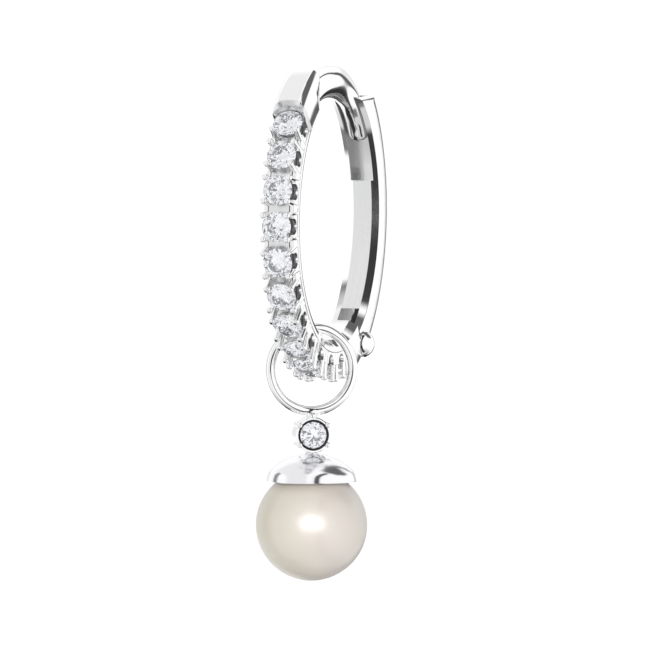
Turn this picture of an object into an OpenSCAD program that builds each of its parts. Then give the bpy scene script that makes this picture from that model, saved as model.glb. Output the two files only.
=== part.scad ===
// Hinged hoop earring with a row of round stones and a pearl drop.
// The origin is the top of the ear wire, on its centreline, where the ear lobe carries it.
// +X is across the band, +Y points to the plain back half and +Z is up.
// Angles along the hoop start at its bottom and run toward the back: 90 is the back, 180 the
// top and 270 the front.

/* [Hoop] */
// Outer radius of the band
band_outer_r = 7.5; // [7.4:0.05:7.6]
// Width of the band
band_w = 1.5; // [1.45:0.05:1.6]
// Inner radius of the front half, which carries the stones
front_inner_r = 5.5; // [5.45:0.01:5.52]
// Inner radius of the back half
back_inner_r = 6.0; // [5.9:0.05:6.1]
// Thickness of the rail under the stones
rail_t = 0.55; // [0.45:0.05:0.6]
// Rounding of the band's outer edges
edge_r = 0.27; // [0.2:0.01:0.3]
// Bevel of the front half's inner edges, across the band
front_bevel_w = 0.36; // [0.34:0.01:0.37]
// Bevel of the front half's inner edges, through the band
front_bevel_t = 0.28; // [0.26:0.01:0.3]
// Bevel of the back half's inner edges, across the band
back_bevel_w = 0.33; // [0.1:0.01:0.35]
// Bevel of the back half's inner edges, through the band
back_bevel_t = 0.15; // [0.1:0.01:0.2]

/* [Ear wire] */
// Thickness of the round ear wire
wire_d = 0.94; // [0.8:0.02:1.0]
// Radius of the wire's bend
wire_bend_r = 5.85; // [5.8:0.01:5.9]
// Height of the wire's top over the hoop's centre
wire_top_z = 6.16; // [6.12:0.01:6.2]
// Distance of the wire's top behind the hoop's centre
wire_top_y = 0.46; // [0.4:0.01:0.5]
// Turn of the wire from its top to the start of its tip
wire_turn = 57; // [55:1:58]
// Distance from the hoop's centre forward to the front half's cut end
front_cut_y = 3.04; // [2.9:0.02:3.1]

/* [Stones] */
// Number of stones in the row
stone_count = 11; // [9:1:11]
// Diameter of a stone
stone_d = 1.3; // [1.24:0.02:1.32]
// Angle from one stone to the next
stone_pitch = 13.6; // [13.5:0.1:13.7]
// Angle of the first stone, next to the plain end
first_stone = 229; // [228.5:0.1:229.5]
// Radius from the hoop's centre to the widest part of a stone
girdle_r = 6.98; // [6.95:0.01:7.0]
// Thickness of a prong
prong_d = 0.28; // [0.24:0.01:0.29]
// Radius from the hoop's centre to the tip of a prong
prong_tip_r = 7.36; // [7.3:0.01:7.45]

/* [Back half] */
// Height of its flat top end over the hoop's centre
back_top_z = 5.13; // [5:0.01:5.2]
// Width of the slot for the ear wire
slot_w = 1.14; // [1.1:0.02:1.16]
// Radius from the hoop's centre to the slot's floor
slot_floor_r = 6.93; // [6.9:0.01:7.0]
// Angle at which the slot ends
slot_end = 102; // [98:1:104]

/* [Hinge] */
// Distance of the pin behind the hoop's centre
pin_y = 3.9; // [3.85:0.01:3.95]
// Distance of the pin below the hoop's centre
pin_drop = 5.9; // [5.88:0.01:5.95]
// Thickness of the pin
pin_d = 0.56; // [0.5:0.02:0.6]
// Free play around the pin in the tongue, on the radius
pin_play = 0.02; // [0.02:0.01:0.04]
// Radius of the round knuckle around the pin
knuckle_r = 0.6; // [0.56:0.01:0.62]
// Width of the front half's tongue
tongue_w = 0.76; // [0.7:0.01:0.8]
// Gap between the moving faces
hinge_gap = 0.05; // [0.04:0.01:0.06]
// Radius of the pin's domed heads
head_r = 0.62; // [0.5:0.01:0.64]
// Height of the pin's domed heads
head_h = 0.44; // [0.3:0.01:0.5]

/* [Drop] */
// Radius of the loose ring, to the middle of its wire
ring_r = 1.87; // [1.86:0.01:1.89]
// Thickness of the loose ring's wire
ring_wire_d = 0.44; // [0.42:0.01:0.45]
// Distance of the loose ring in front of the hoop's centre
ring_front = 1.68; // [1.66:0.01:1.69]
// Distance of the loose ring's middle below the hoop's centre
ring_drop = 6.69; // [6.67:0.01:6.7]
// Turn of the hanging drop about its upright line, from facing the front toward +X
drop_turn = 28; // [24:1:29]
// Diameter of the drop's small stone
drop_stone_d = 1.2; // [1.1:0.02:1.24]
// Outer diameter of the cup that holds the small stone
cup_d = 1.6; // [1.56:0.02:1.64]
// Depth of that cup, from front to back
cup_depth = 1.0; // [0.9:0.05:1.1]
// Diameter of the pearl
pearl_d = 5.0; // [4.9:0.02:5.06]
// Radius of the cap's rim
cap_rim_r = 2.03; // [1.98:0.01:2.1]
// Distance from the pearl's middle up to the cap's rim
cap_rim_h = 1.96; // [1.94:0.01:2.0]
// Diameter of the peg that the pearl sits on
peg_d = 0.8; // [0.7:0.05:0.9]
// Depth of the pearl's drilled hole
peg_depth = 2.0; // [1.8:0.1:2.4]

/* [Hidden] */
$fn = 64;

silver = [0.86, 0.87, 0.89];
clear_stone = [0.93, 0.96, 1.0];
pearl_cream = [0.93, 0.9, 0.86];

half_w = band_w / 2;
rail_r = front_inner_r + rail_t;
wire_r = wire_d / 2;
small_r = 0.06;
// Size of the blocks that cut pieces away
far = 12;
// Depth to which joined shapes run into each other
overlap = 0.15;
small_gap = 0.03;
arc_steps = 4;

// Row of stones
last_stone = first_stone + (stone_count - 1) * stone_pitch - 360;
prong_r = prong_d / 2;
prong_inset = 0.025;
prong_across = half_w - prong_r - prong_inset;
prong_along = sqrt(pow(stone_d / 2 + small_gap + prong_r, 2) - pow(prong_across, 2));
prong_turn = asin(prong_along / girdle_r);
web_top_r = girdle_r - 0.5;
web_turn = 2.6;
web_bevel = 0.04;
seat_r = stone_d / 2 + 0.05;
seat_floor_r = rail_r + 0.05;
// The plain end runs from beyond its cut to just past the edge of the first stone's seat
cap_start = 200;
cap_end = first_stone - 2.7;

// Cut stones, as shares of their diameter
table_share = 0.56;
crown_share = 0.15;
girdle_share = 0.03;
pavilion_share = 0.42;
culet_share = 0.04;
flat_h = 0.001;

// Hinge
pin_r = pin_d / 2;
pin_turn = atan2(pin_y, pin_drop);
// The solid stretch runs from behind the last posts to just short of the pin
block_start = last_stone + prong_turn + 1.8;
block_end = pin_turn - 4;
parting_turn = 1.1;
tongue_inner_r = front_inner_r + 0.25;
tongue_start = block_end - 3;
tongue_end = 40;
// The back half is turned past its flat top end and then cut off level
back_far_end = 150;
slot_far_end = 160;
notch_start = 10;
notch_end = 43.5;
notch_depth = 4;
cut_depth = 1;
head_sphere_r = (pow(head_r, 2) + pow(head_h, 2)) / (2 * head_h);
head_sphere_x = half_w + head_h - head_sphere_r;
head_edge_turn = asin((half_w - head_sphere_x) / head_sphere_r);
head_steps = 6;

// Drop, measured from the middle of the loose ring
ring_wire_r = ring_wire_d / 2;
cup_r = cup_d / 2;
cup_z = -(ring_r + ring_wire_r + cup_r) - small_gap;
cup_hole_r = drop_stone_d / 2 + small_gap;
cup_floor_r = 0.34 * drop_stone_d;
seat_depth = 0.32;
stone_sink = 0.05;
drop_prong_r = 0.13;
drop_prong_turns = [35, 145, 215, 325];
drop_prong_at = cup_r - 0.03;
drop_prong_base = 0.1;
drop_prong_rise = 0.06;
joint_r = 0.3;
neck_r = 0.19;
collar_r = 0.29;
collar_h = 0.06;
pearl_r = pearl_d / 2;
pearl_z = -6.97;
cap_dome_r = 2.63;
cap_dome_z = pearl_z + 0.586;
cap_top_z = cap_dome_z + cap_dome_r;
cap_shoulder_r = 1.8;
skirt_in = 0.05;
skirt_h = 0.24;
peg_foot_z = pearl_z + pearl_r - peg_depth + 0.1;

function stone_name(i) = str("stone_", i < 10 ? "0" : "", i);

// Points of an arc about c, from angle a0 to a1
function arc(c, r, a0, a1, n = arc_steps) =
    [for (i = [0:n]) c + r * [cos(a0 + (a1 - a0) * i / n), sin(a0 + (a1 - a0) * i / n)]];

// Section of the band: its radius along x, its width along y
function band_section(inner_r, outer_r, round_r, bevel_w, bevel_t) = concat(
    [[inner_r, -half_w + bevel_w], [inner_r + bevel_t, -half_w]],
    arc([outer_r - round_r, -half_w + round_r], round_r, -90, 0),
    arc([outer_r - round_r, half_w - round_r], round_r, 0, 90),
    [[inner_r + bevel_t, half_w], [inner_r, half_w - bevel_w]]
);

// Moves from the hoop's centre to the model's origin
module at_hoop() {
    translate([0, -wire_top_y, -wire_top_z]) children();
}

// Turns a section about the hoop's axis, from angle a0 to a1
module along_hoop(a0, a1) {
    rotate([0, 90, 0]) rotate([0, 0, a0]) rotate_extrude(angle = a1 - a0, $fn = 180) children();
}

// Stands its children on the hoop at an angle, their +Z pointing outward
module on_hoop(a) {
    rotate([180 + a, 0, 0]) children();
}

// A round bar along x, centred
module across(r, w) {
    rotate([0, 90, 0]) cylinder(r = r, h = w, center = true);
}

// Moves from the hoop's centre to the hinge pin
module at_pin() {
    translate([0, pin_y, -pin_drop]) children();
}

// A round post with a softly domed tip, standing on z = 0
module prong(r, h) {
    rotate_extrude($fn = 32)
        polygon([[0, 0], [r, 0], [r, h - 0.7 * r], [0.8 * r, h - 0.25 * r], [0.4 * r, h], [0, h]]);
}

// A round brilliant of diameter d, widest at z = 0, its flat table up
module cut_stone(d) {
    hull() {
        translate([0, 0, d * crown_share]) linear_extrude(flat_h)
            rotate(22.5) circle(d = d * table_share, $fn = 8);
        translate([0, 0, -d * girdle_share]) linear_extrude(d * girdle_share)
            rotate(11.25) circle(d = d, $fn = 16);
        translate([0, 0, -d * pavilion_share]) linear_extrude(flat_h)
            rotate(22.5) circle(d = d * culet_share, $fn = 8);
    }
}

// The ear wire, from inside the front half's plain end to its rounded tip
module ear_wire() {
    root_turn = asin((front_cut_y + wire_top_y + overlap) / wire_bend_r);
    translate([0, wire_top_y, wire_top_z - wire_bend_r]) {
        along_hoop(180 - wire_turn, 180 + root_turn)
            translate([wire_bend_r, 0]) circle(r = wire_r);
        on_hoop(180 - wire_turn) translate([0, 0, wire_bend_r]) rotate([-90, 0, 0])
            rotate_extrude() polygon(concat([[0, 0]], arc([0, 0], wire_r, 0, 90)));
    }
}

// The rail, the plain end over the first stone and the solid stretch before the hinge
module front_band() {
    along_hoop(cap_start, 360 + block_end)
        polygon(band_section(front_inner_r, rail_r, small_r, front_bevel_w, front_bevel_t));
    difference() {
        for (span = [[cap_start, cap_end], [block_start, block_end]])
            along_hoop(span[0], span[1])
                polygon(band_section(rail_r - overlap, band_outer_r, edge_r, 0.02, 0.02));
        on_hoop(first_stone) translate([0, 0, seat_floor_r]) cylinder(r = seat_r, h = far);
    }
}

// Four posts around each stone, less the two that the plain end replaces
module prongs() {
    base_r = rail_r - overlap;
    for (i = [0:stone_count - 1], side = [-1, 1], end = [-1, 1])
        if (i > 0 || end > 0)
            on_hoop(first_stone + i * stone_pitch + end * prong_turn)
                translate([side * prong_across, 0, base_r])
                    prong(prong_r, prong_tip_r - base_r);
}

// Low walls that join the posts between two stones
module webs() {
    for (i = [0:stone_count - 2])
        let (a = first_stone + (i + 0.5) * stone_pitch)
            along_hoop(a - web_turn, a + web_turn)
                polygon(band_section(rail_r - overlap, web_top_r, small_r, web_bevel, web_bevel));
}

// The narrow end of the front half that reaches past the pin
module tongue() {
    along_hoop(tongue_start, tongue_end)
        translate([tongue_inner_r, -tongue_w / 2])
            square([norm([pin_y, pin_drop]) - tongue_inner_r, tongue_w]);
    at_pin() across(knuckle_r, tongue_w);
}

module front_half() color(silver) at_hoop() {
    difference() {
        union() {
            front_band();
            prongs();
            webs();
        }
        translate([-far, -front_cut_y, 0]) cube(2 * far);
        for (side = [-1, 1])
            at_pin() translate([side * (tongue_w + far) / 2, 0, 0])
                across(knuckle_r + hinge_gap, far);
    }
    difference() {
        tongue();
        at_pin() across(pin_r + pin_play, band_w);
    }
    ear_wire();
}

module stone(i) color(clear_stone) at_hoop()
    on_hoop(first_stone + (i - 1) * stone_pitch)
        translate([0, 0, girdle_r]) cut_stone(stone_d);

module back_half() color(silver) at_hoop() difference() {
    union() {
        along_hoop(block_end + parting_turn, back_far_end)
            polygon(band_section(back_inner_r, band_outer_r, edge_r, back_bevel_w, back_bevel_t));
        at_pin() across(knuckle_r, band_w);
    }
    translate([-far, 0, back_top_z]) cube(2 * far);
    along_hoop(slot_end, slot_far_end) translate([back_inner_r - cut_depth, -slot_w / 2])
        square([slot_floor_r - back_inner_r + cut_depth, slot_w]);
    along_hoop(notch_start, notch_end)
        translate([back_inner_r - cut_depth, -tongue_w / 2 - hinge_gap])
            square([notch_depth, tongue_w + 2 * hinge_gap]);
    at_pin() across(pin_r, 2 * band_w);
}

// A straight pin with a low dome at each end, turned about its own axis
module hinge_pin() color(silver) at_hoop() at_pin() rotate([0, 90, 0]) rotate_extrude()
    polygon(concat(
        arc([0, -head_sphere_x], head_sphere_r, -90, -head_edge_turn, head_steps),
        [[pin_r, -half_w], [pin_r, half_w]],
        arc([0, head_sphere_x], head_sphere_r, head_edge_turn, 90, head_steps)
    ));

// Moves from the middle of the loose ring to the model's origin, with the drop's turn
module at_ring() {
    at_hoop() translate([0, -ring_front, -ring_drop]) rotate([0, 0, drop_turn]) children();
}

// The cup's open side and the small stone's table face the drop's own front
module facing_front() {
    translate([0, 0, cup_z]) rotate([90, 0, 0]) children();
}

module drop_cup() {
    facing_front() {
        difference() {
            translate([0, 0, -cup_depth / 2]) cylinder(r = cup_r, h = cup_depth);
            translate([0, 0, cup_depth / 2 - seat_depth])
                cylinder(r = cup_hole_r, h = cup_depth);
            translate([0, 0, cup_depth / 2 - 2 * seat_depth])
                cylinder(r = cup_floor_r, h = cup_depth);
        }
        for (turn = drop_prong_turns)
            rotate(turn) translate([drop_prong_at, 0, -cup_depth / 2 + drop_prong_base])
                prong(drop_prong_r, cup_depth + drop_prong_rise);
    }
}

// Solder between the loose ring and the cup
module ring_joint() {
    joint_foot_z = cup_z + cup_hole_r + 0.05;
    translate([0, 0, joint_foot_z]) cylinder(r = joint_r, h = -ring_r - joint_foot_z);
}

// Dome over the pearl, with a short steep skirt down to its rim
function cap_section() = concat(
    [[0, pearl_z + cap_rim_h]],
    [[cap_rim_r, pearl_z + cap_rim_h]],
    [[cap_rim_r - skirt_in, pearl_z + cap_rim_h + skirt_h]],
    arc([0, cap_dome_z], cap_dome_r, acos(cap_shoulder_r / cap_dome_r), 90, 8)
);

module pearl_cap() {
    difference() {
        rotate_extrude() polygon(cap_section());
        translate([0, 0, pearl_z]) sphere(r = pearl_r + small_gap);
    }
    // A neck with a small collar joins the dome to the cup, and a peg holds the pearl
    neck_foot_z = cap_top_z - overlap;
    translate([0, 0, neck_foot_z]) cylinder(r = neck_r, h = cup_z - cup_r + 0.1 - neck_foot_z);
    translate([0, 0, neck_foot_z]) cylinder(r = collar_r, h = overlap + collar_h);
    translate([0, 0, peg_foot_z]) cylinder(d = peg_d, h = cap_top_z - 2 * overlap - peg_foot_z);
}

module drop_setting() color(silver) at_ring() {
    rotate([90, 0, 0]) rotate_extrude() translate([ring_r, 0]) circle(r = ring_wire_r);
    ring_joint();
    drop_cup();
    pearl_cap();
}

module drop_stone() color(clear_stone) at_ring() facing_front()
    translate([0, 0, cup_depth / 2 - stone_sink]) cut_stone(drop_stone_d);

module pearl() color(pearl_cream) at_ring() translate([0, 0, pearl_z]) difference() {
    sphere(r = pearl_r);
    translate([0, 0, pearl_r - peg_depth]) cylinder(d = peg_d + 2 * small_gap, h = peg_depth + 1);
}

front_half();
for (i = [1:stone_count])
    stone(i);
back_half();
hinge_pin();
drop_setting();
drop_stone();
pearl();
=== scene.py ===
from math import acos, asin, atan2, ceil, cos, degrees, hypot, radians, sin, sqrt

import bmesh
import bpy
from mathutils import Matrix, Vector


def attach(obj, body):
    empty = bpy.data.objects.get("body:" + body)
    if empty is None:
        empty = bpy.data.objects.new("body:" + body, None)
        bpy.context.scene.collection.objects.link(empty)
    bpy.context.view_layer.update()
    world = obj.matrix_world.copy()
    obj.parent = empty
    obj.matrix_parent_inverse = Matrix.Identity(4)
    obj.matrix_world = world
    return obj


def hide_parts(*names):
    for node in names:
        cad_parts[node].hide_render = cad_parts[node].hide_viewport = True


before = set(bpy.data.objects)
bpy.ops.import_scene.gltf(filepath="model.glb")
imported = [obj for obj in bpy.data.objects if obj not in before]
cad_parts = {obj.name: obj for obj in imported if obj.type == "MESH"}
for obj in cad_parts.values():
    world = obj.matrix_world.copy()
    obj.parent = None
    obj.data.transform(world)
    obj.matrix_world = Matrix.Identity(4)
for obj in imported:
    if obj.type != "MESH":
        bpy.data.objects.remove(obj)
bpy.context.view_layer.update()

# Pieces are shaped in millimetres in the solids' frame, and settle() brings them to metres.
MM = 0.001

# The hoop. Angles along it start at its bottom: 90 is the back, 180 the top and 270 the front.
HOOP = Vector((0, -0.46, -6.16))
BAND_W = 1.5
HALF_W = BAND_W / 2
OUTER_R = 7.5
FRONT_INNER_R = 5.5
FRONT_BEVEL_W = 0.36
FRONT_BEVEL_T = 0.28
RAIL_R = 6.05
BACK_INNER_R = 6.0
EDGE_R = 0.27
STEP = 1.5  # degrees from one ring of a swept piece to the next

# The ear wire
WIRE_R = 0.47
WIRE_BEND_R = 5.85
WIRE_CENTRE = Vector((0, 0, -WIRE_BEND_R))
WIRE_TIP = 123.0
WIRE_ROOT = 218.0
FRONT_CUT_Y = HOOP.y - 2.85

# The row of stones
STONES = 11
STONE_D = 1.36
PITCH = 13.6
FIRST_STONE = 229.0
GIRDLE_R = 6.98
PRONG_R = 0.14
PRONG_TIP_R = 7.36
PRONG_ACROSS = 0.585
PRONG_ALONG = 0.57
LAST_STONE = FIRST_STONE + (STONES - 1) * PITCH - 360
CAP_END = 226.3
BLOCK_START = 11.5

# The top end of the back half and its slot
BACK_TOP = 5.13
SLOT_W = 1.04
SLOT_FLOOR_R = 6.93

# The hinge
PIN = HOOP + Vector((0, 3.9, -5.9))
PIN_TURN = degrees(atan2(3.9, 5.9))
PIN_R = 0.28
KNUCKLE_R = 0.6
GAP = 0.05
TONGUE_W = 0.76
BLOCK_END = PIN_TURN - 4
HEAD_R = 0.62
HEAD_H = 0.44

# The drop, its heights measured from the middle of the loose ring
RING = HOOP + Vector((0, -1.68, -6.69))
RING_R = 1.87
RING_WIRE_R = 0.22
DROP_TURN = radians(28)
CUP_R = 0.8
CUP_DEPTH = 1.0
CUP_Z = -2.92
DROP_STONE_D = 1.2
PEARL_R = 2.5
PEARL_Z = -6.97
DOME_R = 2.63
DOME_Z = PEARL_Z + 0.586

# ---------------------------------------------------------------- working on a piece


def alone(piece):
    """Selects the piece and nothing else."""
    bpy.ops.object.select_all(action="DESELECT")
    piece.select_set(True)
    bpy.context.view_layer.objects.active = piece
    return piece


def named(name):
    """Names the primitive just added and puts its place into its mesh."""
    piece = alone(bpy.context.object)
    piece.name = piece.data.name = name
    bpy.ops.object.transform_apply(location=True, rotation=True, scale=True)
    return piece


def edit(piece, action="SELECT"):
    alone(piece)
    bpy.ops.object.mode_set(mode="EDIT")
    bpy.ops.mesh.select_mode(type="VERT")
    bpy.ops.mesh.select_all(action=action)


def leave():
    bpy.ops.object.mode_set(mode="OBJECT")


def pick(piece, wanted):
    """In edit mode, selects the vertices whose place meets the test, and what lies between them."""
    bpy.ops.mesh.select_all(action="DESELECT")
    mesh = bmesh.from_edit_mesh(piece.data)
    for vert in mesh.verts:
        vert.select_set(bool(wanted(vert.co)))
    mesh.select_flush(True)
    bmesh.update_edit_mesh(piece.data)


def face_out(piece):
    """Turns every face of a closed piece outward."""
    edit(piece)
    bpy.ops.mesh.remove_doubles(threshold=0.0005)
    bpy.ops.mesh.normals_make_consistent(inside=False)
    leave()
    return piece


def put(piece, location=(0, 0, 0), rotation=(0, 0, 0)):
    """Moves and turns a piece, then puts its place into its mesh."""
    alone(piece)
    piece.location = location
    piece.rotation_euler = rotation
    bpy.ops.object.transform_apply(location=True, rotation=True, scale=True)
    return piece


def twin(piece, name):
    """A copy with a mesh of its own."""
    alone(piece)
    bpy.ops.object.duplicate(linked=False)
    copy = bpy.context.object
    copy.name = copy.data.name = name
    return alone(copy)


def joined(name, parts):
    bpy.ops.object.select_all(action="DESELECT")
    for part in parts:
        part.select_set(True)
    bpy.context.view_layer.objects.active = parts[0]
    bpy.ops.object.join()
    parts[0].name = parts[0].data.name = name
    return parts[0]


def combine(piece, other, operation):
    """Cuts the other shape from the piece, or fuses it on, and removes it."""
    alone(piece)
    bpy.ops.object.modifier_add(type="BOOLEAN")
    change = piece.modifiers[-1]
    change.operation, change.solver, change.object = operation, "EXACT", other
    bpy.ops.object.modifier_apply(modifier=change.name)
    bpy.data.objects.remove(other, do_unlink=True)
    return piece


def cut(piece, *others):
    for other in others:
        combine(piece, other, "DIFFERENCE")
    return piece


def fuse(piece, *others):
    for other in others:
        combine(piece, other, "UNION")
    return piece


def soften(piece, width, segments=3, angle=32):
    """Breaks the sharp edges with a small round."""
    alone(piece)
    bpy.ops.object.modifier_add(type="BEVEL")
    bevel = piece.modifiers[-1]
    bevel.width, bevel.segments = width, segments
    bevel.limit_method, bevel.angle_limit = "ANGLE", radians(angle)
    bpy.ops.object.modifier_apply(modifier=bevel.name)
    return piece


def block(name, low, high):
    """A box between two corners, used to cut with."""
    low, high = Vector(low), Vector(high)
    bpy.ops.mesh.primitive_cube_add(size=1, location=(low + high) / 2)
    bpy.context.object.scale = high - low
    return named(name)


def bar_across(name, centre, radius, width, sides=64):
    """A round bar along X."""
    bpy.ops.mesh.primitive_cylinder_add(
        vertices=sides, radius=radius, depth=width, location=centre, rotation=(0, radians(90), 0))
    return named(name)


def turned(name, profile, sides=64):
    """A piece turned about the Z axis, from its first (radius, height) to its last."""
    (radius, height), *rest = profile
    bpy.ops.mesh.primitive_circle_add(
        vertices=sides, radius=radius, fill_type="NGON", location=(0, 0, height))
    piece = named(name)
    edit(piece)
    for wider, higher in rest:
        bpy.ops.mesh.extrude_region_move(
            TRANSFORM_OT_translate={"value": (0, 0, higher - height)})
        grow = wider / radius
        bpy.ops.transform.resize(value=(grow, grow, 1), center_override=(0, 0, higher))
        radius, height = wider, higher
    leave()
    return face_out(piece)


def arc(centre_r, centre_z, radius, start, end, steps):
    """Points of a turned profile on an arc; angle 0 points outward and 90 up."""
    turns = [radians(start + (end - start) * i / steps) for i in range(steps + 1)]
    return [(centre_r + radius * cos(t), centre_z + radius * sin(t)) for t in turns]


def bar_section(name, *steps, round_r=0.0):
    """A flat section from its inner (radius, width) to its outer one, x running across the band."""
    (radius, width), *rest = steps
    reach = rest[0][0] - radius
    bpy.ops.mesh.primitive_plane_add(size=1, location=(0, radius + reach / 2, 0))
    bpy.context.object.scale = (width, reach, 1)
    piece = named(name)
    edit(piece)
    for number, (outward, wider) in enumerate(rest):
        pick(piece, lambda co: co.y > (radius + 1e-4 if number == 0 else radius - 1e-4))
        if number:
            bpy.ops.mesh.extrude_region_move(
                TRANSFORM_OT_translate={"value": (0, outward - radius, 0)})
        bpy.ops.transform.resize(value=(wider / width, 1, 1), center_override=(0, outward, 0))
        radius, width = outward, wider
    if round_r:
        pick(piece, lambda co: co.y > radius - 1e-4)
        bpy.ops.mesh.bevel(affect="VERTICES", offset=round_r, segments=7, profile=0.5)
    leave()
    return piece


def along_hoop(piece, start, end, centre=HOOP, step=STEP):
    """Sweeps a flat section round the hoop from one angle to the other."""
    put(piece, centre, (radians(start - 90), 0, 0))
    edit(piece)
    bpy.ops.mesh.spin(
        steps=ceil(abs(end - start) / step), angle=radians(start - end),
        center=centre, axis=(1, 0, 0))
    leave()
    return face_out(piece)


def round_corner(centre_y, reach, radius, last):
    """What is cut from a corner of the hoop's outline to leave it round: a thick curved strip."""
    centre_z = sqrt(reach**2 - centre_y**2)
    first = degrees(atan2(centre_y, -centre_z)) % 360
    strip = bar_section("corner_cut", (radius, 3), (radius + 1.2, 3))
    return along_hoop(strip, first, last, HOOP + Vector((0, centre_y, centre_z)), 4)


def refinish(piece, wanted, *finishes):
    """Adds finishes to a piece and gives the last of them to the faces that meet the test."""
    for finish in finishes:
        piece.data.materials.append(finish)
    edit(piece, "DESELECT")
    bpy.ops.mesh.select_mode(type="FACE")
    mesh = bmesh.from_edit_mesh(piece.data)
    for face in mesh.faces:
        face.select_set(bool(wanted(face.calc_center_median(), face.normal)))
    bmesh.update_edit_mesh(piece.data)
    piece.active_material_index = len(piece.data.materials) - 1
    bpy.ops.object.material_slot_assign()
    leave()
    return piece


def stand(piece, angle, centre=HOOP):
    """Stands a piece on the hoop at an angle, its +Z pointing outward."""
    return put(piece, centre, (radians(180 + angle), 0, 0))


# ---------------------------------------------------------------- finishes


def finish_nodes(name):
    material = bpy.data.materials.new(name)
    material.use_nodes = True
    nodes, links = material.node_tree.nodes, material.node_tree.links
    shader = nodes["Principled BSDF"]
    place = nodes.new("ShaderNodeTexCoord").outputs["Object"]
    return material, nodes, links, shader, place


def noise(nodes, links, place, scale, detail=2.0, stretch=None):
    """Noise over the piece, stretched along an axis where wanted."""
    if stretch:
        mapping = nodes.new("ShaderNodeMapping")
        mapping.inputs["Scale"].default_value = stretch
        links.new(place, mapping.inputs["Vector"])
        place = mapping.outputs["Vector"]
    texture = nodes.new("ShaderNodeTexNoise")
    texture.inputs["Scale"].default_value = scale
    texture.inputs["Detail"].default_value = detail
    links.new(place, texture.inputs["Vector"])
    return texture.outputs["Fac"]


def between(nodes, links, value, low, high, start=0.3, end=0.7):
    """Spreads a noise value over a range."""
    spread = nodes.new("ShaderNodeMapRange")
    for socket, number in zip(("From Min", "From Max", "To Min", "To Max"), (start, end, low, high)):
        spread.inputs[socket].default_value = number
    links.new(value, spread.inputs["Value"])
    return spread.outputs["Result"]


def blend_colour(nodes, links, value, first, second):
    mix = nodes.new("ShaderNodeMix")
    mix.data_type = "RGBA"
    mix.inputs["A"].default_value = (*first, 1)
    mix.inputs["B"].default_value = (*second, 1)
    links.new(value, mix.inputs["Factor"])
    return mix.outputs["Result"]


def relief(nodes, links, shader, height, strength, distance):
    bump = nodes.new("ShaderNodeBump")
    bump.inputs["Strength"].default_value = strength
    bump.inputs["Distance"].default_value = distance
    links.new(height, bump.inputs["Height"])
    links.new(bump.outputs["Normal"], shader.inputs["Normal"])


def polished_silver():
    """Bright silver with a faint cloudiness and the finest polishing marks."""
    material, nodes, links, shader, place = finish_nodes("polished_silver")
    shader.inputs["Metallic"].default_value = 1.0
    cloud = noise(nodes, links, place, 700)
    links.new(blend_colour(nodes, links, cloud, (0.955, 0.957, 0.962), (0.985, 0.983, 0.98)),
              shader.inputs["Base Color"])
    links.new(between(nodes, links, cloud, 0.035, 0.085), shader.inputs["Roughness"])
    relief(nodes, links, shader, noise(nodes, links, place, 9000), 0.03, 0.00001)
    return material


def satin_silver():
    """Silver with fine lines along the hoop, as on the inside of the band."""
    material, nodes, links, shader, place = finish_nodes("satin_silver")
    shader.inputs["Metallic"].default_value = 1.0
    lines = noise(nodes, links, place, 5000, 3.0, (1, 0.06, 0.06))
    links.new(blend_colour(nodes, links, lines, (0.78, 0.785, 0.79), (0.96, 0.96, 0.955)),
              shader.inputs["Base Color"])
    links.new(between(nodes, links, lines, 0.16, 0.34), shader.inputs["Roughness"])
    relief(nodes, links, shader, lines, 0.08, 0.00001)
    return material


def soft_silver():
    """Silver rubbed to a soft gloss, with a faint cool tint, as on the cap."""
    material, nodes, links, shader, place = finish_nodes("soft_silver")
    shader.inputs["Metallic"].default_value = 1.0
    cloud = noise(nodes, links, place, 500)
    links.new(blend_colour(nodes, links, cloud, (0.9, 0.895, 0.93), (0.97, 0.965, 0.975)),
              shader.inputs["Base Color"])
    links.new(between(nodes, links, cloud, 0.12, 0.18), shader.inputs["Roughness"])
    relief(nodes, links, shader, noise(nodes, links, place, 6000), 0.04, 0.00001)
    return material


def silver_with_painted_shade():
    """Unpolished silver darkened with painted shade, for the recesses under the stones and round the drop's
    stone.
    """
    material, nodes, links, shader, place = finish_nodes("silver_with_painted_shade")
    shader.inputs["Metallic"].default_value = 0.7
    spots = noise(nodes, links, place, 3500, 3.0)
    # The dark base colour is painted shade in the recesses.
    links.new(blend_colour(nodes, links, spots, (0.1, 0.1, 0.105), (0.22, 0.22, 0.23)),
              shader.inputs["Base Color"])
    links.new(between(nodes, links, spots, 0.3, 0.6), shader.inputs["Roughness"])
    return material


def dull_silver_painted_grey_shade():
    """Rough sawn silver on the walls of the slot and of the fork, its grey base colour painted shade."""
    material, nodes, links, shader, place = finish_nodes("dull_silver_painted_grey_shade")
    shader.inputs["Metallic"].default_value = 0.8
    marks = noise(nodes, links, place, 4000, 3.0, (1, 1, 0.2))
    # The grey base colour paints the shade on the walls of the slot and of the fork.
    links.new(blend_colour(nodes, links, marks, (0.62, 0.62, 0.63), (0.78, 0.78, 0.79)),
              shader.inputs["Base Color"])
    links.new(between(nodes, links, marks, 0.35, 0.55), shader.inputs["Roughness"])
    return material


def brilliant_clear():
    """Clear cut stone, with the faintest cool tint."""
    material, nodes, links, shader, place = finish_nodes("brilliant_clear")
    shader.inputs["Transmission Weight"].default_value = 1.0
    shader.inputs["IOR"].default_value = 2.3
    haze = noise(nodes, links, place, 1500)
    links.new(blend_colour(nodes, links, haze, (0.97, 0.975, 0.99), (1.0, 1.0, 1.0)),
              shader.inputs["Base Color"])
    links.new(between(nodes, links, haze, 0.0, 0.02), shader.inputs["Roughness"])
    return material


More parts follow.
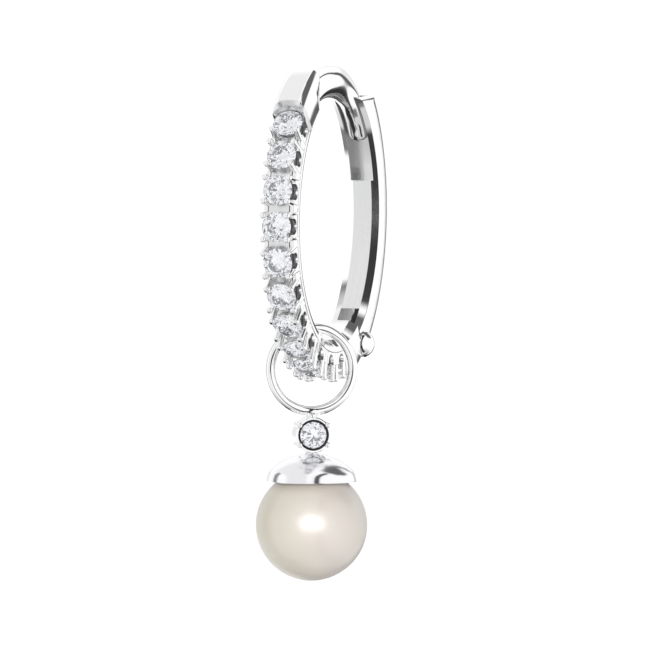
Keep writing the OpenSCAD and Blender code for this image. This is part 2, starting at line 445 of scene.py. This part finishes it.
def back_facets_painted_glow():
    """The lower facets of a stone as a mirror that turns nearly all of the light back, with a faint painted
    glow.
    """
    material, nodes, links, shader, place = finish_nodes("back_facets_painted_glow")
    shader.inputs["Metallic"].default_value = 1.0
    glint = noise(nodes, links, place, 2500)
    links.new(blend_colour(nodes, links, glint, (0.86, 0.87, 0.89), (0.99, 0.99, 1.0)),
              shader.inputs["Base Color"])
    links.new(between(nodes, links, glint, 0.0, 0.03), shader.inputs["Roughness"])
    # The faint emission is painted light that brightens the stones.
    shader.inputs["Emission Color"].default_value = (0.95, 0.97, 1, 1)
    shader.inputs["Emission Strength"].default_value = 0.07
    return material


def nacre():
    """Cream pearl with soft drifts of warm and cool tint and a deep gloss."""
    material, nodes, links, shader, place = finish_nodes("nacre")
    drift = between(nodes, links, noise(nodes, links, place, 260, 2.0), 0, 1, 0.35, 0.65)
    axes = nodes.new("ShaderNodeSeparateXYZ")
    links.new(place, axes.inputs[0])
    side = between(nodes, links, axes.outputs["X"], 0, 1, -0.002, 0.002)
    tint = nodes.new("ShaderNodeMix")
    tint.data_type = "RGBA"
    tint.inputs["Factor"].default_value = 0.4
    links.new(blend_colour(nodes, links, side, (0.45, 0.42, 0.335), (0.49, 0.445, 0.415)), tint.inputs["A"])
    links.new(blend_colour(nodes, links, drift, (0.46, 0.425, 0.355), (0.505, 0.47, 0.43)), tint.inputs["B"])
    links.new(tint.outputs["Result"], shader.inputs["Base Color"])
    shader.inputs["Subsurface Weight"].default_value = 0.25
    shader.inputs["Subsurface Radius"].default_value = (0.0006, 0.0005, 0.0004)
    shader.inputs["Subsurface Scale"].default_value = 1.0
    shader.inputs["Coat Weight"].default_value = 0.8
    shader.inputs["Coat Roughness"].default_value = 0.31
    shader.inputs["Coat IOR"].default_value = 2.0
    shader.inputs["Sheen Weight"].default_value = 0.2
    shader.inputs["Sheen Roughness"].default_value = 0.3
    links.new(between(nodes, links, noise(nodes, links, place, 900), 0.48, 0.56),
              shader.inputs["Roughness"])
    relief(nodes, links, shader, noise(nodes, links, place, 1200, 3.0), 0.05, 0.00002)
    return material


SILVER = polished_silver()
SATIN = satin_silver()
SOFT = soft_silver()
PAINTED_SHADE = silver_with_painted_shade()
DULL_GREY_SHADE_PAINT = dull_silver_painted_grey_shade()
CLEAR = brilliant_clear()
BACK = back_facets_painted_glow()
NACRE = nacre()


def settle(piece, body, slot, finish, *nodes, smooth=32):
    """Brings a finished piece to metres, gives it its finish and lets it move with its body."""
    alone(piece)
    piece.scale = (MM, MM, MM)
    bpy.ops.object.transform_apply(location=True, rotation=True, scale=True)
    if smooth:
        bpy.ops.object.shade_smooth_by_angle(angle=radians(smooth))
    else:
        bpy.ops.object.shade_flat()
    if not piece.data.materials:
        piece.data.materials.append(finish)
    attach(piece, body)
    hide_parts(*nodes)
    return piece


# ---------------------------------------------------------------- the front half


def wire_form(place):
    """How far the wire's outer and inner sides go beyond a plain round wire, and half its width, at a
    place in degrees from the top toward the tip."""

    def swell(middle, reach):
        return max(0.0, 1 - ((place - middle) / reach) ** 2) ** 2

    return 0.06 * swell(0, 45) + 0.17 * swell(24, 26), 0.42 * swell(4, 46), 0.5 + 0.08 * swell(3, 36)


def ear_wire():
    """Wire from inside the plain end, over the top, to its rounded tip, fullest at the top."""
    bpy.ops.mesh.primitive_circle_add(
        vertices=40, radius=WIRE_R, fill_type="NGON", location=(0, WIRE_BEND_R, 0))
    wire = along_hoop(named("ear_wire"), WIRE_ROOT, WIRE_TIP, WIRE_CENTRE)
    tip = WIRE_CENTRE + WIRE_BEND_R * Vector((0, sin(radians(WIRE_TIP)), -cos(radians(WIRE_TIP))))
    onward = Vector((0, -cos(radians(WIRE_TIP)), -sin(radians(WIRE_TIP))))
    edit(wire)
    for turn in range(0, 65):
        angle = WIRE_ROOT - (WIRE_ROOT - WIRE_TIP) * turn / 64
        outer, inner, half = wire_form(180 - angle)
        away = Vector((0, sin(radians(angle)), -cos(radians(angle))))
        ahead = Vector((0, away.z, -away.y))
        pick(wire, lambda co: abs((co - WIRE_CENTRE).dot(ahead)) < 0.01
             and (co - WIRE_CENTRE).dot(away) > 0)
        grow = 1 + (outer + inner) / (2 * WIRE_R)
        bpy.ops.transform.resize(value=(half / WIRE_R, grow, grow),
                                 center_override=WIRE_CENTRE + away * WIRE_BEND_R)
        bpy.ops.transform.translate(value=away * (outer - inner) / 2)
    pick(wire, lambda co: (co - tip).length < WIRE_R + 0.05 and abs((co - tip).dot(onward)) < 0.01)
    reach, radius = 0.0, WIRE_R
    for turn in range(12, 90, 11):
        ahead = WIRE_R * sin(radians(turn)) - reach
        bpy.ops.mesh.extrude_region_move(TRANSFORM_OT_translate={"value": onward * ahead})
        reach += ahead
        grow = WIRE_R * cos(radians(turn)) / radius
        radius *= grow
        bpy.ops.transform.resize(value=(grow,) * 3, center_override=tip + onward * reach)
    leave()
    return face_out(wire)


def front_rail():
    """The smooth rail under the stones, from the plain end to the solid stretch."""
    section = bar_section("front_rail", (FRONT_INNER_R, BAND_W - 2 * FRONT_BEVEL_W),
                          (5.77, BAND_W - 0.026), (5.9, BAND_W), (RAIL_R, BAND_W), round_r=0.05)
    return along_hoop(section, CAP_END - 1, 360 + BLOCK_START + 1)


def plain_end():
    """The plain end over the first stone, cut off level with the ear wire's root."""
    section = bar_section("plain_end", (FRONT_INNER_R, BAND_W - 2 * FRONT_BEVEL_W),
                          (FRONT_INNER_R + FRONT_BEVEL_T, BAND_W), (OUTER_R, BAND_W), round_r=0.42)
    end = along_hoop(section, 200, CAP_END)
    seat_r = STONE_D / 2 + 0.04
    seat = stand(turned("seat_cut", [(seat_r, RAIL_R + 0.05), (seat_r, 6.95), (seat_r + 0.27, 7.6)]),
                 FIRST_STONE)
    cut(end, block("level_cut", (-2, FRONT_CUT_Y, -3), (2, FRONT_CUT_Y + 3, 3)), seat)
    cut(end, round_corner(FRONT_CUT_Y - HOOP.y - 0.25, OUTER_R - 0.25, 0.25, 80))
    soften(end, 0.03)
    outward = Vector((0, sin(radians(FIRST_STONE)), -cos(radians(FIRST_STONE))))

    def seat_wall(middle, normal):
        offset = middle - HOOP
        return offset.dot(outward) > 6 and (offset - offset.dot(outward) * outward).length < seat_r + 0.25

    return refinish(end, seat_wall, SILVER, SATIN)


def hinge_end():
    """The solid stretch before the hinge, with the narrow tongue that turns on the pin."""
    section = bar_section("hinge_end", (FRONT_INNER_R, BAND_W - 2 * FRONT_BEVEL_W),
                          (FRONT_INNER_R + FRONT_BEVEL_T, BAND_W), (OUTER_R, BAND_W), round_r=EDGE_R)
    end = along_hoop(section, BLOCK_START, BLOCK_END)
    for side in (-1, 1):
        x = side * (TONGUE_W / 2 + 1)
        cut(end, bar_across("cheek_cut", PIN + Vector((x, 0, 0)), KNUCKLE_R + GAP, 2))
    tongue = bar_section("tongue", (FRONT_INNER_R + 0.25, TONGUE_W), (hypot(3.9, 5.9), TONGUE_W))
    along_hoop(tongue, BLOCK_END - 3, 40)
    fuse(tongue, bar_across("knuckle", PIN, KNUCKLE_R, TONGUE_W))
    fuse(end, tongue)
    cut(end, bar_across("pin_hole", PIN, PIN_R + 0.02, BAND_W))
    return soften(end, 0.03)


def prong():
    """A post with a worn, nearly flat bead for a head, leaning a little over the stone's edge."""
    top = PRONG_TIP_R - 0.023
    profile = [(PRONG_R, RAIL_R - 0.15), (PRONG_R, top - 0.22), (0.152, top - 0.16),
               (0.152, top - 0.1), (0.142, top - 0.05), (0.115, top - 0.018), (0.07, top)]
    return turned("prong", profile, 20)


def stone_posts():
    """Two pairs of posts at every stone; the plain end stands in for the first pair."""
    first = prong()
    distance = hypot(PRONG_ACROSS, PRONG_ALONG)
    put(first, (distance, 0, 0))
    edit(first)
    pick(first, lambda co: co.z > PRONG_TIP_R - 0.3)
    bpy.ops.transform.translate(value=(-0.045, 0, 0))
    leave()
    corner = degrees(atan2(PRONG_ALONG, PRONG_ACROSS))
    posts = []
    for stone in range(STONES):
        for turn in (corner, 180 - corner, 180 + corner, 360 - corner):
            if stone == 0 and turn < 180:
                continue
            post = put(twin(first, "post"), rotation=(0, 0, radians(turn)))
            posts.append(stand(post, FIRST_STONE + stone * PITCH))
    bpy.data.objects.remove(first, do_unlink=True)
    return joined("stone_posts", posts)


def side_walls():
    """A wall along each side of the row, with a round-bottomed notch beside every stone."""
    walls = []
    for side in (-1, 1):
        section = bar_section("wall", (RAIL_R - 0.1, 0.2), (6.6, 0.2), round_r=0.03)
        put(section, (side * 0.6, 0, 0))
        walls.append(along_hoop(section, CAP_END - 0.5, 360 + BLOCK_START + 0.5))
    wall = joined("side_walls", walls)
    notches = []
    for stone in range(STONES):
        bpy.ops.mesh.primitive_cylinder_add(
            vertices=32, radius=0.36, depth=BAND_W + 1, location=(0, 0, 6.5),
            rotation=(0, radians(90), 0))
        notch = named("notch")
        edit(notch)
        pick(notch, lambda co: co.z > 6.55)
        bpy.ops.transform.translate(value=(0, 0, 0.6))
        leave()
        notches.append(stand(notch, FIRST_STONE + stone * PITCH))
    cut(wall, joined("notches", notches))
    return soften(wall, 0.02, 2)


def stone_seats():
    """The inside of the row under the stones, with a drilled seat for each."""
    section = bar_section("stone_seats", (RAIL_R - 0.1, 0.96), (6.62, 0.96), round_r=0.02)
    seats = along_hoop(section, CAP_END - 0.5, 360 + BLOCK_START + 0.5)
    drills = []
    for stone in range(STONES):
        drill = turned("drill", [(0.1, 6.15), (0.42, 6.45), (0.66, 6.7), (0.66, 7.5)], 32)
        drills.append(stand(drill, FIRST_STONE + stone * PITCH))
    cut(seats, joined("drills", drills))
    # The sides of the seats, seen through the notches beside the stones, get painted shade.
    return refinish(seats, lambda middle, normal: abs(normal.x) > 0.9, SATIN, PAINTED_SHADE)


def mirrored_back(stone):
    """Gives the lower facets their own finish, which throws the light back out of the stone and adds a faint
    painted glow.
    """
    low = min(corner.co.z for corner in stone.data.vertices)
    return refinish(stone, lambda middle, normal: middle.z < low * 0.06 and normal.z < -0.1, CLEAR, BACK)


def cut_stone(name, width):
    """A round brilliant: table, star, kite and girdle facets over a pointed pavilion."""
    crown, pavilion = 0.687, 0.80
    table_r, star_r, half, girdle = 0.28, 0.379, 0.5, 0.028
    star_z = (half - table_r) * crown - (star_r * cos(radians(22.5)) - table_r) * crown
    low_r = 0.12
    low_z = -girdle - (half - low_r * cos(radians(22.5))) * pavilion
    rings = [
        (8, table_r, (half - table_r) * crown, 22.5), (8, star_r, star_z, 0),
        (16, half, 0, 0), (16, half, -girdle, 0),
        (8, low_r, low_z, 0), (8, 0.012, -girdle - (half - 0.012) * pavilion, 22.5)]
    parts = []
    for sides, radius, height, turn in rings:
        bpy.ops.mesh.primitive_circle_add(
            vertices=sides, radius=radius * width, location=(0, 0, height * width),
            rotation=(0, 0, radians(turn)))
        parts.append(named("ring"))
    stone = joined(name, parts)
    edit(stone)
    bpy.ops.mesh.convex_hull(face_threshold=radians(1), shape_threshold=radians(30))
    leave()
    return mirrored_back(face_out(stone))


# ---------------------------------------------------------------- the back half and the pin


def fork_corner(side, radius=0.25):
    """What is cut from the top of the back half along one side to leave that edge round."""
    top = HOOP.z + BACK_TOP
    low = Vector((side * (HALF_W - radius), HOOP.y + 2, top - radius))
    high = Vector((side * (HALF_W + 0.3), HOOP.y + 7, top + 0.3))
    strip = block("fork_corner", [min(pair) for pair in zip(low, high)],
                  [max(pair) for pair in zip(low, high)])
    bpy.ops.mesh.primitive_cylinder_add(
        vertices=64, radius=radius, depth=8, location=(low.x, HOOP.y + 4.5, low.z),
        rotation=(radians(90), 0, 0))
    return cut(strip, named("fork_round"))


def back_half():
    """The plain half with its flat top end, the slot for the wire and the fork of the hinge."""
    section = bar_section("back_half_band", (BACK_INNER_R, BAND_W - 0.66), (6.145, BAND_W - 0.05),
                          (6.158, BAND_W - 0.022), (6.19, BAND_W - 0.004), (6.3, BAND_W), (7.1, BAND_W),
                          (OUTER_R - 0.003, BAND_W - 0.03), round_r=0.2)
    back = along_hoop(section, BLOCK_END + 1.1, 150)
    cut(back, block("level_cut", (-2, 0, HOOP.z + BACK_TOP), (2, 9, HOOP.z + 9)))
    bend = 0.4
    cut(back, round_corner(sqrt((OUTER_R - bend) ** 2 - (BACK_TOP - bend) ** 2), OUTER_R - bend,
                           bend, 186))
    for side in (-1, 1):
        cut(back, fork_corner(side))
    fuse(back, bar_across("knuckle", PIN, KNUCKLE_R, BAND_W))
    slot = along_hoop(bar_section("slot", (5, SLOT_W), (SLOT_FLOOR_R, SLOT_W)), 102, 160)
    fork = along_hoop(bar_section("fork", (5, TONGUE_W + 2 * GAP), (9, TONGUE_W + 2 * GAP)), 10, 43.5)
    cut(back, slot, fork, bar_across("pin_hole", PIN, PIN_R, 2 * BAND_W))
    face_out(back)

    def lined(middle, normal):
        offset = middle - HOOP
        radius = hypot(offset.y, offset.z)
        return normal.dot(Vector((0, offset.y, offset.z)).normalized()) < -0.97 and radius < 7.1

    def cheek(middle, normal):
        offset = middle - HOOP
        return abs(normal.x) > 0.9 and abs(middle.x) < 0.6 and hypot(offset.y, offset.z) < 7.4

    # The walls of the slot and of the fork get the grey of painted shade.
    return refinish(refinish(back, lined, SILVER, SATIN), cheek, DULL_GREY_SHADE_PAINT)


def hinge_pin():
    """A straight pin with a low dome at each end."""
    sphere_r = (HEAD_R**2 + HEAD_H**2) / (2 * HEAD_H)
    sphere_z = HALF_W + HEAD_H - sphere_r
    edge = degrees(asin((HALF_W - sphere_z) / sphere_r))
    half = [(PIN_R, 0.0), (PIN_R, HALF_W), (HEAD_R - 0.02, HALF_W + 0.001)]
    half += arc(0, sphere_z, sphere_r, edge + 2, 89, 12)
    whole = [(r, -z) for r, z in reversed(half)] + half[1:]
    return put(turned("hinge_pin_domed", whole), PIN, (0, radians(90), 0))


# ---------------------------------------------------------------- the drop


def loose_ring():
    """The soldered ring that hangs round the hoop."""
    bpy.ops.mesh.primitive_torus_add(
        major_segments=120, minor_segments=28, major_radius=RING_R, minor_radius=RING_WIRE_R,
        rotation=(radians(90), 0, 0))
    ring = named("loose_ring")
    edit(ring)
    pick(ring, lambda co: co.z < -RING_R and abs(co.x) < 0.3)
    bpy.ops.transform.resize(value=(1, 1.12, 1), center_override=(0, 0, -RING_R))
    leave()
    return put(ring, RING, (0, 0, DROP_TURN))


def drop_cup():
    """The round cup with its seat, the four prongs and the solder to the ring."""
    front = CUP_DEPTH / 2
    profile = [(CUP_R - 0.03, -front), (CUP_R, -front + 0.03), (CUP_R, front - 0.04),
               (CUP_R - 0.04, front), (0.7, front), (0.64, front - 0.1), (0.63, front - 0.32),
               (0.41, front - 0.4), (0.2, front - 0.62)]
    cup = turned("drop_cup", profile)
    post = turned("post", [(0.13, -0.4), (0.13, front - 0.02), *arc(0, front + 0.03, 0.13, 0, 88, 6)], 24)
    put(post, (CUP_R - 0.03, 0, 0))
    posts = [put(twin(post, "post"), rotation=(0, 0, radians(t))) for t in (35, 145, 215, 325)]
    bpy.data.objects.remove(post, do_unlink=True)
    cup = fuse(cup, *posts)
    # The wall of the seat round the stone gets painted shade, a dark ring.
    refinish(cup, lambda middle, normal: middle.z > 0 and hypot(middle.x, middle.y) < 0.69, SILVER, PAINTED_SHADE)
    put(cup, RING + Vector((0, 0, CUP_Z)), (radians(90), 0, DROP_TURN))
    solder = turned("solder", [(0.34, 0), (0.3, 0.05), (0.24, 0.12), (0.26, 0.2), (0.33, 0.27)], 32)
    put(solder, RING + Vector((0, 0, CUP_Z + CUP_R - 0.1)))
    return fuse(cup, solder)


def pearl_cap():
    """The polished dome over the pearl, its short skirt, the neck above and the peg below."""
    top = DOME_Z + DOME_R
    shoulder = degrees(acos(1.8 / DOME_R))
    rim = PEARL_Z + 1.96
    profile = [(0.17, CUP_Z - CUP_R + 0.12), (0.17, top + 0.08), (0.2, top + 0.055),
               (0.29, top + 0.04), (0.3, top + 0.02), (0.28, top - 0.012)]
    profile += arc(0, DOME_Z, DOME_R, 83, shoulder + 3, 22)
    profile += [(1.845, -0.003 + DOME_Z + 1.87), (1.9, DOME_Z + 1.8), (1.945, DOME_Z + 1.71),
                (1.985, rim + 0.2), (2.02, rim + 0.03), (2.01, rim + 0.005), (1.97, rim)]
    inner_r = PEARL_R + 0.02
    low = degrees(asin((rim + 0.002 - PEARL_Z) / inner_r))
    profile += [(inner_r * cos(radians(low)), rim + 0.002)]
    profile += arc(0, PEARL_Z, inner_r, low + 1, 80, 16)
    profile += [(0.4, PEARL_Z + PEARL_R - 0.05), (0.4, PEARL_Z + 0.7), (0.36, PEARL_Z + 0.62)]
    return put(turned("pearl_cap", profile, 96), RING)


def pearl():
    """A nearly round pearl with its drilled hole, its skin faintly uneven."""
    hole = 0.43
    top = degrees(acos(hole / PEARL_R))
    profile = [(0.01, PEARL_Z - PEARL_R), *arc(0, PEARL_Z, PEARL_R, -89, top, 90),
               (hole, PEARL_Z + 0.55), (0.02, PEARL_Z + 0.5)]
    body = put(turned("pearl_bead", profile, 128), RING)
    waves = bpy.data.textures.new("pearl_waves", "CLOUDS")
    waves.noise_scale = 1.6
    alone(body)
    bpy.ops.object.modifier_add(type="DISPLACE")
    uneven = body.modifiers[-1]
    uneven.texture, uneven.texture_coords = waves, "LOCAL"
    uneven.strength, uneven.mid_level = 0.02, 1.0
    bpy.ops.object.modifier_apply(modifier=uneven.name)
    return body


# ---------------------------------------------------------------- making it all

for made in (ear_wire(), stone_posts()):
    settle(made, "front", "silver", SILVER, "front_half")
for made in (front_rail(), plain_end(), hinge_end(), side_walls(), stone_seats()):
    settle(made, "front", "silver", SILVER, "front_half", smooth=20)

first_cut = cut_stone("cut_stone", STONE_D)
put(first_cut, (0, 0, GIRDLE_R))
for number in range(STONES):
    gem = twin(first_cut, f"brilliant_{number + 1:02d}")
    put(gem, rotation=(0, 0, radians(7 + 29 * number)))
    stand(gem, FIRST_STONE + number * PITCH)
    settle(gem, "front", "clear_stone", CLEAR, f"stone_{number + 1:02d}", smooth=0)
bpy.data.objects.remove(first_cut, do_unlink=True)

settle(back_half(), "back", "silver", SILVER, "back_half", smooth=14)
settle(hinge_pin(), "back", "silver", SILVER, "hinge_pin")

for made in (loose_ring(), drop_cup()):
    settle(made, "drop", "silver", SILVER, "drop_setting")
settle(pearl_cap(), "drop", "silver", SOFT, "drop_setting")
front = CUP_DEPTH / 2 - 0.05
drop_gem = put(cut_stone("drop_brilliant", DROP_STONE_D),
               RING + Vector((sin(DROP_TURN) * front, -cos(DROP_TURN) * front, CUP_Z)),
               (radians(90), 0, DROP_TURN))
settle(drop_gem, "drop", "clear_stone", CLEAR, "drop_stone", smooth=0)
bead = settle(pearl(), "drop", "pearl", NACRE, "pearl", smooth=60)

# ---------------------------------------------------------------- floor, light and camera

AZIMUTH, ELEVATION = radians(17.3), radians(4.0)
FACING = Vector((sin(AZIMUTH) * cos(ELEVATION), -cos(AZIMUTH) * cos(ELEVATION), sin(ELEVATION)))
RIGHT = Vector((cos(AZIMUTH), sin(AZIMUTH), 0))
UP = FACING.cross(RIGHT)


def pale_floor():
    bpy.ops.mesh.primitive_plane_add(size=4, location=(0, 0, -0.045))
    floor = named("floor")
    floor.visible_glossy = False
    material, nodes, links, shader, place = finish_nodes("pale_floor")
    links.new(blend_colour(nodes, links, noise(nodes, links, place, 8), (0.93, 0.93, 0.93),
                           (0.96, 0.96, 0.96)), shader.inputs["Base Color"])
    shader.inputs["Roughness"].default_value = 0.9
    shader.inputs["Emission Color"].default_value = (1, 1, 1, 1)
    shader.inputs["Emission Strength"].default_value = 0.3
    floor.data.materials.append(material)


# What stands round the piece: brightness, softness, and how far it reaches across X, Y and Z and
# toward the camera, as parts of a direction's length. Later ones cover earlier ones.
EVERYWHERE = (-2, 2)
SURROUND = (
    (0.83, 0.05, (-0.75, 0.06), (-2, 0.5), (-0.7, 2), EVERYWHERE),
    (0.62, 0.1, EVERYWHERE, (-2, 0.6), (-2, -0.62), EVERYWHERE),
    (0.80, 0.02, (-0.75, 0.18), (0.5, 2), (-0.1, 0.2), EVERYWHERE),
    (0.20, 0.03, (-2, 0.5), EVERYWHERE, (-2, 0.6), (-0.45, -0.2)),
    (0.10, 0.01, (0.182, 0.262), (0.3, 2), EVERYWHERE, EVERYWHERE),
    (0.03, 0.02, (-0.1, 0.225), (0.5, 2), (-0.42, -0.13), EVERYWHERE),
    (0.03, 0.02, (-0.3, 0.2), (0.35, 2), (-0.9, -0.36), EVERYWHERE),
    (0.03, 0.03, (-0.55, -0.1), (-0.25, 0.75), (-2, -0.66), EVERYWHERE),
    (0.04, 0.015, (0.38, 0.57), (-2, 0.0), EVERYWHERE, EVERYWHERE),
    (0.12, 0.05, (0.22, 0.8), (0.1, 0.66), (0.4, 2), EVERYWHERE),
    (0.03, 0.006, EVERYWHERE, EVERYWHERE, EVERYWHERE, (0.981, 2)),
)


def calculated(nodes, links, operation, first, second):
    """A sum node; either side is a number or a link."""
    node = nodes.new("ShaderNodeMath")
    node.operation = operation
    for socket, value in zip(node.inputs, (first, second)):
        if isinstance(value, (int, float)):
            socket.default_value = value
        else:
            links.new(value, socket)
    return node.outputs[0]


def studio():
    """A white tent with its gaps, panels and the dark opening where the camera stands."""
    world = bpy.data.worlds.new("studio")
    bpy.context.scene.world = world
    world.use_nodes = True
    nodes, links = world.node_tree.nodes, world.node_tree.links
    look = nodes.new("ShaderNodeTexCoord").outputs["Generated"]
    axes = nodes.new("ShaderNodeSeparateXYZ")
    links.new(look, axes.inputs[0])
    toward = nodes.new("ShaderNodeVectorMath")
    toward.operation = "DOT_PRODUCT"
    toward.inputs[1].default_value = FACING
    links.new(look, toward.inputs[0])
    values = [*axes.outputs, toward.outputs["Value"]]
    shade = 1.0
    for level, blur, *limits in SURROUND:
        share = 1.0
        for value, (low, high) in zip(values, limits):
            if low > -2:
                rise = between(nodes, links, value, 0, 1, low - blur, low + blur)
                share = calculated(nodes, links, "MULTIPLY", rise, share)
            if high < 2:
                fall = between(nodes, links, value, 1, 0, high - blur, high + blur)
                share = calculated(nodes, links, "MULTIPLY", fall, share)
        kept = calculated(nodes, links, "SUBTRACT", 1.0, share)
        shade = calculated(nodes, links, "ADD",
                           calculated(nodes, links, "MULTIPLY", shade, kept),
                           calculated(nodes, links, "MULTIPLY", share, level))
    background = nodes["Background"]
    background.inputs["Strength"].default_value = 1.05
    links.new(shade, background.inputs["Color"])


def softbox(name, direction, distance, size, power):
    place = HOOP * MM + Vector(direction).normalized() * distance
    bpy.ops.object.light_add(type="AREA", location=place)
    lamp = bpy.context.object
    lamp.name = name
    lamp.rotation_euler = (HOOP * MM - place).to_track_quat("-Z", "Y").to_euler()
    lamp.data.shape, lamp.data.energy = "ELLIPSE", power
    lamp.data.size, lamp.data.size_y = size
    return lamp


def only_for(lamp, piece):
    """Keeps a lamp's light to one piece."""
    lit = bpy.data.collections.new(lamp.name)
    lit.objects.link(piece)
    lamp.light_linking.receiver_collection = lit


def camera():
    target = HOOP * MM + RIGHT * 0.00008 - UP * 0.00479
    bpy.ops.object.camera_add(
        location=target + FACING * 0.25, rotation=(radians(90) - ELEVATION, 0, AZIMUTH))
    lens = bpy.context.object
    lens.data.type = "ORTHO"
    lens.data.ortho_scale = 0.02897
    lens.data.clip_start, lens.data.clip_end = 0.001, 10
    bpy.context.scene.camera = lens


pale_floor()
studio()
only_for(softbox("pearl_glow", FACING, 0.3, (0.28, 0.18), 0.85), bead)
camera()
bpy.context.scene.view_settings.view_transform = "Standard"
